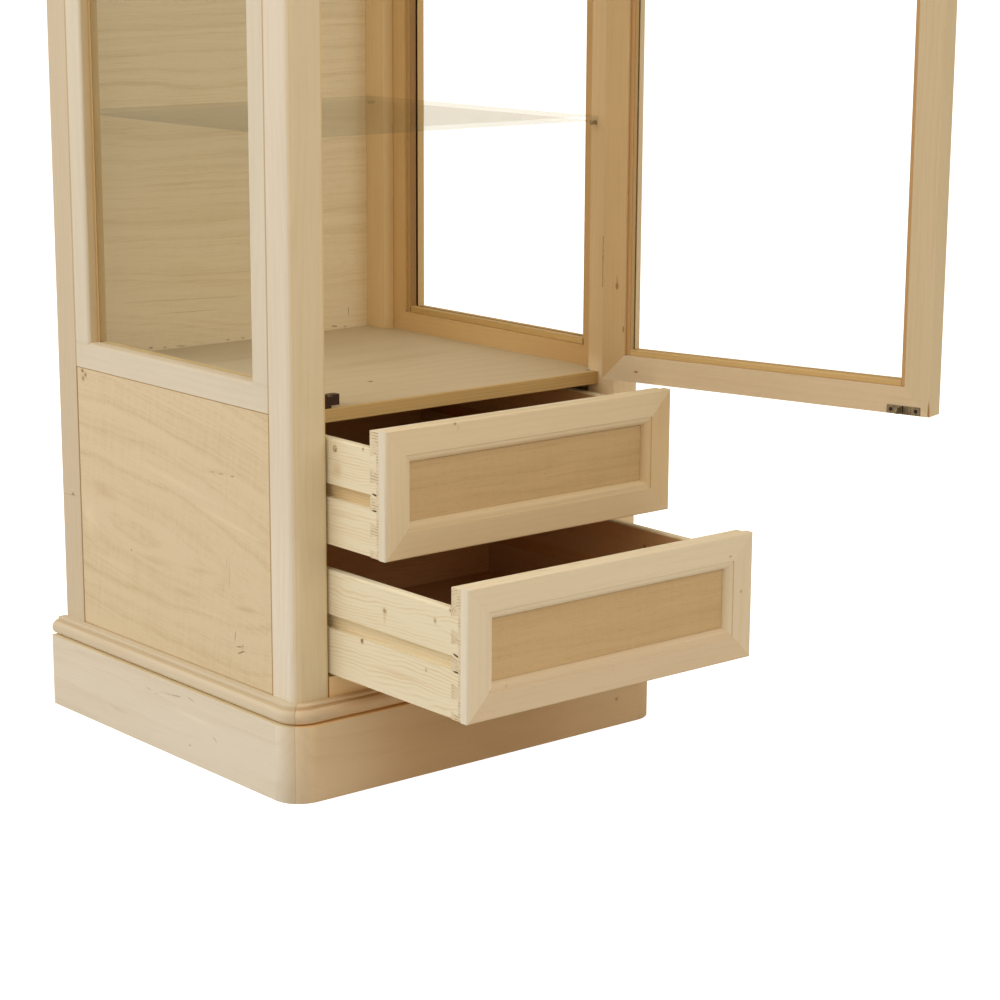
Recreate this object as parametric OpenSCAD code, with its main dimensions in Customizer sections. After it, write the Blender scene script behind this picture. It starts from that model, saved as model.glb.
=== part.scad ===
// Glazed display cabinet with one door and two drawers.
// Origin: underside of the rear plinth rail, midway across. Front faces -Y.
// The door stands open and both drawers stand out, as at rest.

/* [Carcass] */
// Width over the posts
carcass_w = 544; // [480:1:620]
// Depth over the posts
carcass_d = 524; // [480:1:600]
// Overall height
total_h = 1800; // [1500:5:2000]
// Width of a post along X
post_w = 46; // [40:1:56]
// Depth of a post along Y
post_d = 48; // [40:1:56]
// Radius of the front posts' outer corner
post_r = 12; // [4:1:16]
// Radius of the rear posts' outer corner
rear_r = 6; // [2:1:12]
// Top of the display floor
floor_z = 458.5; // [457.5:0.5:459]
// Thickness of the display floor
floor_t = 16; // [12:1:22]
// Distance from the front of the posts to the front of the floor
floor_setback = 29.5; // [29.5:0.5:34]

/* [Base] */
// Height of the plinth boards
plinth_h = 95; // [80:1:100]
// How far the plinth stands out from the posts
plinth_out = 22; // [18:1:26]
// Radius of the plinth's front corners
plinth_r = 36; // [32:1:48]
// Top of the base moulding
base_top = 118; // [110:1:126]
// Radius of the bead on the base moulding
bead_r = 9.4; // [8:0.2:9.6]
// Top of the rail below the lower drawer
bottom_rail_z = 142.5; // [138:0.5:143]

/* [Top] */
// Thickness of the top board
top_t = 18; // [15:1:24]
// Overhang of the top board
top_over = 38; // [30:1:44]
// Height of the cornice moulding
cornice_h = 42; // [34:1:50]

/* [Glazed sides] */
// Width of a side frame member
side_w = 34; // [30:1:40]
// Thickness of a side frame
side_t = 30; // [27:1:34]
// Thickness of the lower side panels
panel_t = 16; // [12:1:20]
// Thickness of the glass panes
glass_t = 3; // [3:1:4]
// Thickness of the frame lip in front of the glass
lip_t = 13; // [11:1:14]
// Width of the rebate that holds the side glass
rebate = 8; // [6:0.5:9]

/* [Door] */
// Underside of the door
door_z = 457; // [457:0.5:458]
// Width of a door frame member
door_w = 39; // [34:1:46]
// Width of the rebate that holds the door's glass
door_rebate = 6.5; // [5:0.5:8]
// Thickness of the door
door_t = 28; // [26:0.5:28]
// Gap between the door and the posts
door_gap = 1; // [1:0.1:1.5]
// How far the door stands open
door_open = 105.5; // [90:0.5:110]

/* [Drawers] */
// Underside of the lower drawer's front
lower_z = 145; // [144:0.5:146]
// Height of the lower drawer's front
lower_h = 156; // [150:1:156]
// Underside of the upper drawer's front
upper_z = 303; // [302:0.5:304]
// Height of the upper drawer's front
upper_h = 152; // [148:1:153]
// How far the lower drawer stands out
lower_pull = 257; // [0:1:380]
// How far the upper drawer stands out
upper_pull = 109; // [0:1:380]
// Gap between a drawer and the posts
drawer_gap = 3.5; // [3:0.5:5]
// Height of the drawer sides
box_h = 127; // [120:1:130]
// Thickness of the drawer sides and back
box_t = 12; // [10:0.5:14]
// Thickness of the box front behind the moulded frame
box_front_t = 16; // [14:0.5:16]
// Thickness of the moulded frame on a drawer front
face_t = 12.4; // [12:0.2:13]
// Width of the flat of that frame
face_flat = 31; // [26:1:36]
// Radius of the ovolo inside the flat
ovolo_r = 10; // [8:0.5:11]
// Height of a runner's groove in the drawer sides
groove_h = 17; // [14:0.5:18]

/* [Shelves] */
// Thickness of a glass shelf
shelf_t = 6; // [5:1:8]
// Number of glass shelves
shelf_count = 3; // [1:1:4]

/* [Hidden] */

$fn = 48;

half_w = carcass_w / 2;
back_y = 10;
front_y = back_y - carcass_d;
post_x = half_w - post_w;
front_post_y = front_y + post_d;
rear_post_y = back_y - post_d;
post_top = total_h - top_t;
lipping_t = 6;
floor_y = front_y + floor_setback;
back_t = 8;
corner_r = plinth_r - plinth_out;

door_top = total_h - 78;
door_h = door_top - door_z;
door_x0 = -post_x + door_gap + 0.5;
door_x1 = post_x - door_gap;
door_l = door_x1 - door_x0;
hinge_x = post_x - door_gap / 2;
hinge_len = 64;
hinge_r = 4;
hinge_zs = [door_z + 110, door_z + door_h / 2 - hinge_len / 2, door_top - 110 - hinge_len];

side_len = rear_post_y - front_post_y;
side_h = door_top - floor_z;
bead_recess = 4;

drawer_x = post_x - drawer_gap;
face_w = face_flat + 0.5 + ovolo_r;
box_len = 467;
side_offset = 2;
groove_z = 56;
groove_depth = 7;
tail_l = 12;
tail_count = 4;
bottom_t = 5;

catch_x = half_w - 80;
roller_r = 3;

pine = "#ded2b4";
lime = "#dacfb7";
lime_dark = "#c8b28c";
gold = "#b28a4e";
glass = [0.85, 0.93, 0.92, 0.3];
metal = "#8d8672";
bronze = "#3a2c20";

// A block between two X, two Y and two Z limits
module block(x, y, z) {
    translate([x[0], y[0], z[0]]) cube([x[1] - x[0], y[1] - y[0], z[1] - z[0]]);
}

// Rectangle whose corner at the origin is round
module one_round(w, d, r) {
    translate([r, 0]) square([w - r, d]);
    translate([0, r]) square([w, d - r]);
    translate([r, r]) circle(r);
}

// Plan of the carcass, out by o, with round front and rear corners
module plan(o, r, rr = rear_r) {
    w = half_w + o;
    for (s = [0, 1]) mirror([s, 0]) {
        translate([-w, front_y - o]) one_round(w + 1, carcass_d / 2, r);
        translate([-w, back_y]) mirror([0, 1]) one_round(w + 1, carcass_d / 2 + o + 1, rr);
    }
}

// Plan of the front run, cut off at the mitres
module front_mitre() {
    a = half_w + 60;
    b = half_w - 60;
    polygon([[-a, front_y - 60], [a, front_y - 60], [b, front_y + 60], [-b, front_y + 60]]);
}

module front_part() {
    intersection() {
        children();
        linear_extrude(total_h) front_mitre();
    }
}

module left_part() {
    difference() {
        children();
        linear_extrude(total_h) front_mitre();
        block([0, half_w + 100], [front_y - 100, back_y + 100], [-1, total_h + 1]);
        block([-post_x, 1], [front_y - 100, back_y + 100], [-1, total_h + 1]);
    }
}

// A moulding along the front and both sides. Its profile's x is the distance out.
module moulding_run() {
    difference() {
        for (s = [0, 1]) mirror([s, 0]) {
            translate([-half_w + corner_r, front_y + corner_r]) rotate([0, 0, 180])
                rotate_extrude(angle = 90, $fn = 72) translate([corner_r, 0]) children();
            translate([-half_w, back_y]) rotate([90, 0, 0])
                linear_extrude(carcass_d - corner_r) mirror([1, 0]) children();
            translate([-half_w + corner_r, front_y]) rotate([90, 0, 90])
                linear_extrude(half_w - corner_r + 1) mirror([1, 0]) children();
        }
        translate([0, 0, -1]) linear_extrude(total_h + 2) plan(0, post_r);
    }
}

// A frame member along X: y runs in from its outer edge, z up from its back
module mitred_bar(len, w, t) {
    intersection() {
        rotate([90, 0, 90]) linear_extrude(len) children();
        linear_extrude(t) polygon([[0, 0], [len, 0], [len - w, w], [w, w]]);
    }
}

// The chosen members of a frame of fw by fh: 0 bottom, 1 right, 2 top, 3 left
module frame_members(which, fw, fh, w, t) {
    spots = [[0, 0], [fw, 0], [fw, fh], [0, fh]];
    for (i = which)
        translate(spots[i]) rotate([0, 0, 90 * i])
            mitred_bar(i % 2 == 0 ? fw : fh, w, t) children();
}

// Section of a glazed frame member: flat, lip and rebate
module glazed_profile(w, t, deep) {
    r = 4;
    difference() {
        square([w, t]);
        translate([w - deep, -1]) square([deep + 1, t - lip_t + 1]);
        translate([w - r, t - r]) difference() {
            square(r + 1);
            circle(r);
        }
    }
}

// Section of a glazing bead, w wide and d deep, with its inner edge rounded
module bead_profile(w, d) {
    translate([0, 1]) square([w, d - 1]);
    square([w - 1, d]);
    translate([w - 1, 1]) circle(1);
}

module glazed_frame(which, fw, fh, w, t, deep) {
    frame_members(which, fw, fh, w, t) glazed_profile(w, t, deep);
}

module glazing_beads(fw, fh, w, t, deep) {
    e = w - deep;
    d = t - lip_t - glass_t - bead_recess;
    translate([e, e, bead_recess])
        frame_members([0, 1, 2, 3], fw - 2 * e, fh - 2 * e, deep, d) bead_profile(deep, d);
}

module glass_pane(fw, fh, w, t, deep) {
    e = w - deep + 1;
    translate([e, e, t - lip_t - glass_t]) cube([fw - 2 * e, fh - 2 * e, glass_t]);
}

// Puts a frame drawn flat into the left side of the carcass
module in_left_side() {
    translate([-half_w + side_t, rear_post_y, floor_z]) rotate([90, 0, -90]) children();
}

module right_of() {
    mirror([1, 0, 0]) children();
}

module plinth_ring() {
    linear_extrude(plinth_h) difference() {
        plan(plinth_out, plinth_r, 1);
        plan(0, post_r);
    }
}

module plinth_front() {
    color(lime_dark) front_part() plinth_ring();
}

module plinth_left() {
    color(lime) left_part() plinth_ring();
}

module plinth_right() {
    color(lime_dark) right_of() left_part() plinth_ring();
}

module plinth_rear_rail() {
    color(pine) block([-post_x, post_x], [back_y - 20, back_y], [0, plinth_h]);
}

// Ledge, small cove and bead of the base moulding
module base_profile() {
    c = plinth_out - 0.8 - bead_r;
    translate([0, plinth_h + 0.4]) {
        square([c, 2 * bead_r]);
        translate([c, bead_r]) circle(bead_r);
    }
    translate([0, plinth_h]) {
        square([c, 4]);
        square([10, base_top - plinth_h]);
        square([11.5, base_top - plinth_h - 1.5]);
        translate([10, base_top - plinth_h - 1.5]) circle(1.5);
    }
}

module base_moulding() {
    moulding_run() base_profile();
}

module base_moulding_front() {
    color(lime_dark) front_part() base_moulding();
}

module base_moulding_left() {
    color(lime) left_part() base_moulding();
}

module base_moulding_right() {
    color(lime_dark) right_of() left_part() base_moulding();
}

module front_post_solid() {
    linear_extrude(post_top) translate([-half_w, front_y]) one_round(post_w, post_d, post_r);
}

module front_left_post() {
    color(lime) difference() {
        front_post_solid();
        pin_holes();
    }
}

module front_right_post() {
    color(lime_dark) difference() {
        right_of() front_post_solid();
        hinge_mortises(post_x - 1, post_x + hinge_leaf_t());
        pin_holes();
    }
}

module rear_post_solid() {
    linear_extrude(post_top) translate([-half_w, back_y]) mirror([0, 1])
        one_round(post_w, post_d, rear_r);
}

module rear_left_post() {
    color(lime) difference() {
        rear_post_solid();
        pin_holes();
    }
}

module rear_right_post() {
    color(lime_dark) difference() {
        right_of() rear_post_solid();
        pin_holes();
    }
}

module lower_panel() {
    block([-half_w + 0.4, -half_w + 0.4 + panel_t], [front_post_y, rear_post_y], [50, floor_z]);
}

module left_lower_panel() {
    color(lime_dark) lower_panel();
}

module right_lower_panel() {
    color(lime_dark) right_of() lower_panel();
}

// Board under the lower drawer, cut round the posts
module bottom_board() {
    x = half_w - panel_t - 0.4;
    color(pine) difference() {
        block([-x, x], [front_y + 22, back_y - back_t], [plinth_h + 8, plinth_h + 18]);
        linear_extrude(total_h) posts_plan();
    }
}

module posts_plan() {
    for (s = [0, 1]) mirror([s, 0]) {
        translate([-half_w, front_y]) square([post_w, post_d]);
        translate([-half_w, rear_post_y]) square([post_w, post_d]);
    }
}

module bottom_front_rail() {
    color(lime_dark) block([-post_x, post_x], [front_y, front_y + 22], [50, bottom_rail_z]);
}

module left_frame(which) {
    in_left_side() glazed_frame(which, side_len, side_h, side_w, side_t, rebate);
}

module left_frame_stiles() {
    color(lime) left_frame([1, 3]);
}

module left_frame_rails() {
    color(lime) left_frame([0, 2]);
}

module right_frame_stiles() {
    color(lime_dark) right_of() left_frame([1, 3]);
}

module right_frame_rails() {
    color(lime_dark) right_of() left_frame([0, 2]);
}

module left_glass() {
    color(glass) in_left_side() glass_pane(side_len, side_h, side_w, side_t, rebate);
}

module right_glass() {
    color(glass) right_of() in_left_side() glass_pane(side_len, side_h, side_w, side_t, rebate);
}

module left_glass_beads() {
    color(gold) in_left_side() glazing_beads(side_len, side_h, side_w, side_t, rebate);
}

module right_glass_beads() {
    color(gold) right_of() in_left_side() glazing_beads(side_len, side_h, side_w, side_t, rebate);
}

module back_panel() {
    color(lime_dark) block([-post_x, post_x], [back_y - back_t, back_y], [plinth_h, post_top]);
}

module display_floor() {
    x = half_w - panel_t - 0.4;
    color(pine) difference() {
        block([-x, x], [floor_y + lipping_t, back_y - back_t], [floor_z - floor_t, floor_z]);
        linear_extrude(total_h) posts_plan();
        for (s = [0, 1]) mirror([s, 0, 0]) lower_panel();
    }
}

module floor_lipping() {
    color(gold) block([-post_x, post_x], [floor_y, floor_y + lipping_t],
                      [floor_z - floor_t, floor_z]);
}

// Strips that the grooved drawer sides slide on
module drawer_runners() {
    for (s = [0, 1], z = [lower_z, upper_z])
        color(gold) mirror([s, 0, 0])
            block([-post_x, -post_x + drawer_gap + groove_depth - 0.5],
                  [floor_y + 2, back_y - back_t - 2],
                  [z + side_offset + groove_z + 0.5, z + side_offset + groove_z + groove_h - 0.5]);
}

module top_front_rail() {
    color(lime_dark) block([-post_x, post_x], [front_y, front_y + 22], [door_top + 2, post_top]);
}

module top_side_rails() {
    for (s = [0, 1])
        color(lime) mirror([s, 0, 0])
            block([-half_w, -half_w + 22], [front_post_y, rear_post_y], [door_top, post_top]);
}

// Board over the posts, with a rounded upper edge
module top_board() {
    color(lime) {
        translate([0, 0, post_top]) linear_extrude(top_t - 4)
            plan(top_over, corner_r + top_over);
        translate([0, 0, total_h - 4]) linear_extrude(4)
            plan(top_over - 3, corner_r + top_over - 3);
    }
}

// Bead, cove and fillet of the cornice
module cornice_profile() {
    z = post_top - cornice_h;
    translate([0, z]) square([6, cornice_h]);
    translate([6, z + 6]) circle(6);
    translate([0, post_top - 6]) square([top_over - 6, 6]);
    translate([0, z + 12]) difference() {
        square([top_over - 8, cornice_h - 12]);
        translate([top_over - 8, 0]) circle(cornice_h - 18);
    }
}

module cornice() {
    moulding_run() cornice_profile();
}

module cornice_front() {
    color(lime_dark) front_part() cornice();
}

module cornice_left() {
    color(lime) left_part() cornice();
}

module cornice_right() {
    color(lime_dark) right_of() left_part() cornice();
}

function shelf_z(i) = floor_z + (door_top - floor_z) * (i + 1) / (shelf_count + 1);

module glass_shelves() {
    for (i = [0 : shelf_count - 1])
        color(glass) block([-post_x + 1.5, post_x - 1.5],
                           [front_y + 34, back_y - back_t - 6],
                           [shelf_z(i), shelf_z(i) + shelf_t]);
}

// Places for the shelf pins, in the inner faces of the posts
module at_pins() {
    for (s = [0, 1], y = [front_y + 40, back_y - 26], i = [0 : shelf_count - 1])
        mirror([s, 0, 0]) translate([-post_x, y, shelf_z(i)]) rotate([0, 90, 0]) children();
}

module pin_holes() {
    at_pins() translate([2.5, 0, -10]) cylinder(h = 11, r = 2.5, $fn = 32);
}

module shelf_pins() {
    color(metal) at_pins() translate([2.5, 0, -10]) cylinder(h = 18, r = 2.5, $fn = 32);
}

// Catch on the display floor: a housing with the roller's pin, and its fixing ear
module catch_body() {
    z = floor_z;
    x = -catch_x;
    y = front_y;
    color(bronze) difference() {
        union() {
            block([x - 21, x + 2.2], [y + 32, y + 54], [z, z + 14]);
            block([x + 2.2, x + 21], [y + 46, y + 56], [z, z + 13]);
            block([x - 16, x - 4], [y + 36, y + 50], [z + 14, z + 15.5]);
        }
        at_roller() cylinder(h = 10, r = roller_r + 0.4, $fn = 32);
        block([x - 1.2, x + 3], [y + 31, y + 45], [z - 1, z + 12]);
    }
    color(bronze) at_roller() translate([0, 0, -0.5]) cylinder(h = 11, r = 1, $fn = 32);
}

module at_roller() {
    translate([-catch_x - 2.4, front_y + 36.5, floor_z + 2]) children();
}

module catch_roller() {
    color(metal) at_roller() translate([0, 0, 0.3]) difference() {
        cylinder(h = 9.4, r = roller_r, $fn = 32);
        translate([0, 0, -1]) cylinder(h = 12, r = 1.05, $fn = 32);
    }
}

function hinge_leaf_t() = 1.5;

// Recesses for the hinge leaves and barrels in a piece between x0 and x1
module hinge_mortises(x0, x1) {
    for (z = hinge_zs) {
        block([x0, x1], [front_y - 1, front_y + 24], [z, z + hinge_len]);
        translate([hinge_x, front_y, z]) cylinder(h = hinge_len, r = hinge_r + 0.3);
    }
}

// One half of a hinge: leaf, and knuckles over the given stretches of its height
module hinge_half(x0, knuckles) {
    x1 = x0 + hinge_leaf_t();
    difference() {
        block([x0, x1], [front_y, front_y + 24], [0, hinge_len]);
        difference() {
            translate([hinge_x, front_y, -1]) cylinder(h = hinge_len + 2, r = hinge_r + 0.4);
            for (k = knuckles)
                block([x0 - 1, x1 + 1], [front_y, front_y + 9], [k[0], k[1]]);
        }
    }
    for (k = knuckles)
        translate([hinge_x, front_y, k[0]]) cylinder(h = k[1] - k[0], r = hinge_r);
}

module hinge_post_halves() {
    a = hinge_len / 3;
    color(metal) for (z = hinge_zs) translate([0, 0, z]) {
        hinge_half(post_x, [[0, a - 0.2], [2 * a + 0.2, hinge_len]]);
        translate([hinge_x, front_y, 0]) cylinder(h = hinge_len, r = 1.5, $fn = 32);
    }
}

// Turns the door about its hinge to where it stands at rest
module door_pose() {
    translate([hinge_x, front_y, 0]) rotate([0, 0, door_open])
        translate([-hinge_x, -front_y, 0]) children();
}

module in_door() {
    door_pose() translate([door_x0, front_y + door_t, door_z]) rotate([90, 0, 0]) children();
}

module door_hinge_stile() {
    color(lime_dark) difference() {
        in_door() glazed_frame([1], door_l, door_h, door_w, door_t, door_rebate);
        door_pose() hinge_mortises(door_x1 - hinge_leaf_t(), door_x1 + 1);
    }
}

module door_free_stile() {
    color(lime_dark) in_door() glazed_frame([3], door_l, door_h, door_w, door_t, door_rebate);
}

module door_bottom_rail() {
    color(lime_dark) in_door() glazed_frame([0], door_l, door_h, door_w, door_t, door_rebate);
}

module door_top_rail() {
    color(lime_dark) in_door() glazed_frame([2], door_l, door_h, door_w, door_t, door_rebate);
}

module door_glass() {
    color(glass) in_door() glass_pane(door_l, door_h, door_w, door_t, door_rebate);
}

module door_glass_beads() {
    color(gold) in_door() glazing_beads(door_l, door_h, door_w, door_t, door_rebate);
}

module hinge_door_halves() {
    a = hinge_len / 3;
    color(metal) door_pose() for (z = hinge_zs) translate([0, 0, z]) difference() {
        hinge_half(door_x1 - hinge_leaf_t(), [[a, 2 * a]]);
        translate([hinge_x, front_y, -1]) cylinder(h = hinge_len + 2, r = 1.55, $fn = 32);
    }
}

// Plate on the door's inner face that the catch grips
module strike_plate() {
    x = -catch_x;
    y = front_y + door_t;
    color(metal) door_pose() difference() {
        union() {
            block([x - 21.3, x + 21.3], [y, y + 1], [door_z + 0.4, door_z + 10.4]);
            translate([x + 2.4, y, door_z + 1.9]) rotate([90, 0, 90]) linear_extrude(1.4) {
                square([10.4, 7.5]);
                translate([10.4, 3.75]) circle(3.75);
            }
            for (i = [0 : 2])
                block([x - 9 + 4 * i, x - 7 + 4 * i], [y, y + 1.8], [door_z + 2, door_z + 9]);
        }
        at_strike_screws() cylinder(h = 4, r = 2.4, $fn = 32);
    }
}

module at_strike_screws() {
    for (s = [-16, 16])
        translate([s - catch_x, front_y + door_t - 1, door_z + 5.4]) rotate([-90, 0, 0]) children();
}

module strike_screws() {
    color(bronze) door_pose() at_strike_screws() translate([0, 0, 1]) {
        cylinder(h = 1.2, r = 2.4, $fn = 32);
        translate([0, 0, 0.9]) cylinder(h = 0.5, r = 1.8, $fn = 32);
    }
}

// Section of a drawer front's frame: round outer edge, flat, quirk and ovolo
module face_profile() {
    r = 2.2;
    difference() {
        square([face_flat, face_t]);
        translate([-1, face_t - r]) difference() {
            square([r + 1, r + 1]);
            translate([r + 1, 0]) circle(r);
        }
    }
    intersection() {
        translate([face_flat + 0.5, 1]) circle(ovolo_r);
        translate([face_flat - 0.5, 0]) square([face_w, face_t]);
    }
}

// Moves a drawer forward to where it stands at rest; z is its underside
module drawer_pose(z, pull) {
    translate([0, -pull, z]) children();
}

module drawer_frame(h) {
    color(lime_dark) translate([-drawer_x, front_y + face_t, 0]) rotate([90, 0, 0])
        frame_members([0, 1, 2, 3], 2 * drawer_x, h, face_w, face_t) face_profile();
}

module drawer_panel(h) {
    color(gold) block([-drawer_x + face_w, drawer_x - face_w],
                      [front_y + face_t - 3, front_y + face_t], [face_w, h - face_w]);
}

// Tails on the front ends of both sides
module tails() {
    y = front_y + face_t + box_front_t;
    pitch = box_h / tail_count;
    for (s = [0, 1], i = [0 : tail_count - 1])
        mirror([s, 0, 0]) translate([-drawer_x, y, side_offset + pitch * (i + 0.5)])
            rotate([90, 0, 90]) linear_extrude(box_t)
                polygon([[0, -7], [-tail_l, -10], [-tail_l, 10], [0, 7]]);
}

module drawer_box_front(h) {
    y = front_y + face_t;
    color(pine) difference() {
        block([-drawer_x, drawer_x], [y, y + box_front_t], [1, h - 2]);
        tails();
        drawer_bottom_slot();
    }
}

module drawer_bottom_slot() {
    y0 = front_y + face_t + box_front_t;
    x = drawer_x - box_t + 5;
    z = side_offset + 8;
    block([-x, x], [y0 - 5, y0 + box_len - box_t + 5], [z, z + bottom_t]);
}

module drawer_sides() {
    y0 = front_y + face_t + box_front_t;
    z0 = side_offset;
    color(pine) difference() {
        union() {
            for (s = [0, 1])
                mirror([s, 0, 0]) drawer_side_board(y0, z0);
            tails();
        }
        for (s = [0, 1])
            mirror([s, 0, 0])
                block([-drawer_x - 1, -drawer_x + groove_depth], [y0 - 2, y0 + box_len + 1],
                      [z0 + groove_z, z0 + groove_z + groove_h]);
        drawer_bottom_slot();
    }
}

// A side board with its upper edge rounded on both sides
module drawer_side_board(y0, z0) {
    r = 3;
    translate([-drawer_x, y0 + box_len, z0]) rotate([90, 0, 0]) linear_extrude(box_len) {
        square([box_t, box_h - r]);
        translate([r, 0]) square([box_t - 2 * r, box_h]);
        for (x = [r, box_t - r]) translate([x, box_h - r]) circle(r);
    }
}

module drawer_back() {
    y1 = front_y + face_t + box_front_t + box_len;
    x = drawer_x - box_t;
    color(pine) difference() {
        block([-x, x], [y1 - box_t, y1], [side_offset, side_offset + box_h]);
        drawer_bottom_slot();
    }
}

module drawer_bottom() {
    color(pine) drawer_bottom_slot();
}

module upper() {
    drawer_pose(upper_z, upper_pull) children();
}

module lower() {
    drawer_pose(lower_z, lower_pull) children();
}

plinth_front();
plinth_left();
plinth_right();
plinth_rear_rail();
base_moulding_front();
base_moulding_left();
base_moulding_right();
front_left_post();
front_right_post();
rear_left_post();
rear_right_post();
left_lower_panel();
right_lower_panel();
bottom_board();
bottom_front_rail();
left_frame_stiles();
left_frame_rails();
right_frame_stiles();
right_frame_rails();
left_glass();
right_glass();
left_glass_beads();
right_glass_beads();
back_panel();
display_floor();
floor_lipping();
drawer_runners();
top_front_rail();
top_side_rails();
top_board();
cornice_front();
cornice_left();
cornice_right();
glass_shelves();
shelf_pins();
catch_body();
catch_roller();
hinge_post_halves();
door_hinge_stile();
door_free_stile();
door_bottom_rail();
door_top_rail();
door_glass();
door_glass_beads();
strike_plate();
strike_screws();
hinge_door_halves();
upper() drawer_frame(upper_h);  // upper_drawer_frame
upper() drawer_panel(upper_h);  // upper_drawer_panel
upper() drawer_box_front(upper_h);  // upper_drawer_box_front
upper() drawer_sides();  // upper_drawer_sides
upper() drawer_back();  // upper_drawer_back
upper() drawer_bottom();  // upper_drawer_bottom
lower() drawer_frame(lower_h);  // lower_drawer_frame
lower() drawer_panel(lower_h);  // lower_drawer_panel
lower() drawer_box_front(lower_h);  // lower_drawer_box_front
lower() drawer_sides();  // lower_drawer_sides
lower() drawer_back();  // lower_drawer_back
lower() drawer_bottom();  // lower_drawer_bottom
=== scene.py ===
"""Looks for the glazed display cabinet: woods, glass, metalwork, stage and camera."""

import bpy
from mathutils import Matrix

bl_info = {
    "name": "Display Cabinet Looks",
    "version": (1, 0, 0),
    "blender": (4, 5, 0),
    "location": "3D View > Sidebar > Cabinet",
    "description": "Dresses the display cabinet's pieces in bare wood, glass and metal",
    "category": "Object",
}

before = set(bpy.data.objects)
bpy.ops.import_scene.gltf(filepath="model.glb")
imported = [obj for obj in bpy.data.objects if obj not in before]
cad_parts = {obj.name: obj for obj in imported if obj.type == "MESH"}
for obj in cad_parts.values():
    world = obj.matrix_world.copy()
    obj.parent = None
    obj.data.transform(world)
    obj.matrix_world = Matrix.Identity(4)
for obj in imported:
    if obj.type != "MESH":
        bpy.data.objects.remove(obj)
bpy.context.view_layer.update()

import math

import bpy
from bpy.props import (
    FloatProperty,
    FloatVectorProperty,
    IntProperty,
    PointerProperty,
)
from mathutils import Matrix, Vector

MM = 0.001
ANY = 5000.0

# Directions in the cabinet's frame. MITRED lies across the mitres of the front left corner.
RIGHT, LEFT = (1.0, 0.0, 0.0), (-1.0, 0.0, 0.0)
REARWARD, FORWARD = (0.0, 1.0, 0.0), (0.0, -1.0, 0.0)
UP, DOWN = (0.0, 0.0, 1.0), (0.0, 0.0, -1.0)
MITRED = (1.0, -1.0, 0.0)

# The open door: its angle, the foot of its axis and the way its width points.
DOOR_TURN = math.radians(105.5)
HINGE = Vector((0.2255, -0.514, 0.0))
DOOR_OUT = Vector((-math.cos(DOOR_TURN), -math.sin(DOOR_TURN), 0.0))
DOOR_FOOT = DOOR_OUT.dot(HINGE)

# Rotations that turn a board's length onto the X axis of its grain.
ALONG_X = (0.0, 0.0, 0.0)
ALONG_Y = (0.0, 0.0, -math.pi / 2)
ALONG_Z = (0.0, math.pi / 2, 0.0)
ALONG_DOOR = (0.0, 0.0, -DOOR_TURN)


def tint(name, text, default):
    return FloatVectorProperty(
        name=name, description=text, subtype="COLOR", size=3, min=0.0, max=1.0, default=default
    )


class CabinetWood(bpy.types.PropertyGroup):
    lime: tint("Lime", "Planed limewood of the posts, frames and mouldings", (0.74, 0.625, 0.44))
    lime_deep: tint("Lime, deep", "Darker streaks of the limewood", (0.60, 0.46, 0.27))
    veneer: tint("Side panel", "Veneer of the lower side panels", (0.70, 0.56, 0.36))
    veneer_deep: tint("Side panel, deep", "Darker figure of that veneer", (0.54, 0.39, 0.20))
    spruce: tint("Spruce", "Pale wood of the drawer boxes", (0.80, 0.70, 0.49))
    spruce_ring: tint("Spruce, rings", "Late rings of the drawer boxes", (0.66, 0.50, 0.27))
    fielded: tint("Drawer panel", "Brown panels in the drawer fronts", (0.61, 0.455, 0.255))
    fielded_deep: tint("Drawer panel, deep", "Darker figure of those panels", (0.47, 0.325, 0.16))
    strip: tint("Strips", "Glazing beads and the floor's lipping", (0.62, 0.435, 0.18))
    knot: tint("Knot", "Heart of a knot", (0.26, 0.13, 0.05))
    grain: FloatProperty(
        name="Grain", description="Strength of the grain", default=1.0, min=0.0, max=2.0,
        subtype="FACTOR",
    )
    ring_gap: FloatProperty(
        name="Ring gap", description="Distance between growth rings", default=0.0042,
        min=0.001, max=0.02, unit="LENGTH",
    )
    edge: FloatProperty(
        name="Edge", description="Width of the eased edges", default=0.0007, min=0.0,
        max=0.002, unit="LENGTH",
    )


class CabinetMetal(bpy.types.PropertyGroup):
    housing: tint("Housing", "Dark brown of the catch", (0.055, 0.024, 0.015))
    strike: tint("Strike", "Dull bronze of the strike plate", (0.30, 0.245, 0.155))
    screw: tint("Screws", "Screws of the strike plate", (0.035, 0.028, 0.022))
    brass: tint("Brass", "Dull brass of the hinges", (0.56, 0.42, 0.22))
    steel: tint("Steel", "Catch roller and shelf pins", (0.50, 0.47, 0.42))


class CabinetStage(bpy.types.PropertyGroup):
    ground: tint("Ground", "Colour of the floor", (0.60, 0.60, 0.60))
    glow: FloatProperty(name="Glow", description="How far the floor is whitened",
                        default=1.0, min=0.0, max=2.0)
    key: FloatProperty(name="Key light", description="Power of the light on the left",
                       default=45.0, min=0.0, unit="POWER")
    fill: FloatProperty(name="Fill light", description="Power of the light in front",
                        default=22.0, min=0.0, unit="POWER")
    ambient: FloatProperty(name="Ambient", description="Strength of the light all round",
                           default=0.80, min=0.0, max=3.0)
    lens: FloatProperty(name="Lens", description="Focal length of the camera",
                        default=93.73, min=20.0, max=200.0, unit="CAMERA")
    segments: IntProperty(name="Edge steps", description="Steps round an eased edge",
                          default=2, min=1, max=4)


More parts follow.
